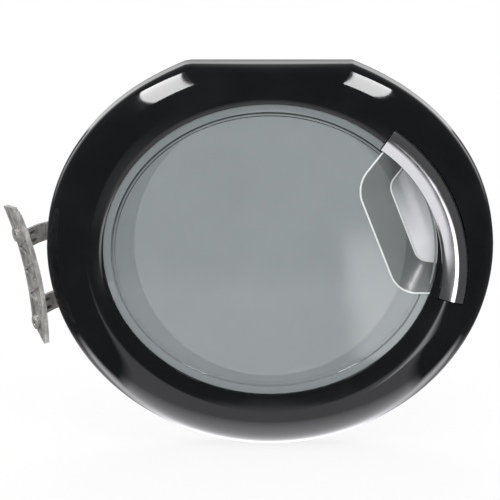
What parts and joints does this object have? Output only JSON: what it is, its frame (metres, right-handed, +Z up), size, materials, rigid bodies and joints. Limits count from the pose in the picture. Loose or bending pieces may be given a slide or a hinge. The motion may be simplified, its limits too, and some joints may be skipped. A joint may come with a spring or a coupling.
{
  "type": "washing machine door",
  "caption": "Oval porthole door with a flat top, smoked cover, glass bowl, curved chrome pull handle and a two-armed swan-neck hinge.",
  "frame": {"origin": "middle of the two hinge screw holes, on the face of the hinge that meets the cabinet", "axes": "+X along the door's face towards the handle, +Y back towards the drum as the door stands, +Z up"},
  "size_m": [0.516, 0.125, 0.41],
  "materials": {
    "gloss_black": "high gloss",
    "smoked_cover": "smoked clear",
    "chrome": "bright",
    "bowl_glass": "clear",
    "hinge_casting": "as cast",
    "grey_plastic": "satin",
    "black_plastic": "satin",
    "gasket": "matte",
    "steel": "zinc plated",
    "screw_steel": "zinc plated",
    "bush_plastic": "satin"
  },
  "bodies": {
    "hinge": {"hinge_bracket": "hinge_casting", "hinge_bush_upper": "bush_plastic", "hinge_bush_lower": "bush_plastic"},
    "door": {"front_frame": "gloss_black", "window_cover": "smoked_cover", "glass_bowl": "bowl_glass", "rear_frame": "grey_plastic", "bowl_gasket": "gasket", "bowl_clamp_ring": "black_plastic", "clamp_ring_screws": "screw_steel", "frame_screws": "screw_steel", "hinge_carrier": "steel", "hinge_carrier_screws": "screw_steel", "hinge_pin_upper": "steel", "hinge_pin_lower": "steel", "latch_housing": "black_plastic", "latch_housing_screws": "screw_steel", "handle_pin": "steel", "hook_pin": "steel", "handle_spring": "steel", "hook_spring": "steel"},
    "handle": {"handle_bar": "chrome", "handle_lever": "black_plastic", "handle_lever_screws": "screw_steel"},
    "latch_hook": {"latch_hook": "black_plastic"}
  },
  "joints": [
    {"name": "door_swing", "type": "hinge", "parent": "hinge", "child": "door", "pos_m": [0.04674, 0.02004, 0.00951], "axis": [0.1994, 0, -0.9799], "range_deg": [-115, 45]},
    {"name": "handle_pull", "type": "hinge", "parent": "door", "child": "handle", "pos_m": [0.44372, -0.008, 0.07652], "axis": [-0.3649, 0, 0.9311], "range_deg": [0, 10], "stiffness_Nm_per_rad": 0.6},
    {"name": "hook_turn", "type": "hinge", "parent": "door", "child": "latch_hook", "pos_m": [0.45303, 0.024, 0.08017], "axis": [-0.3649, 0, 0.9311], "range_deg": [-20, 0]}
  ],
  "couplings": [
    {"joint": "hook_turn", "follows": "handle_pull", "ratio": -2}
  ]
}
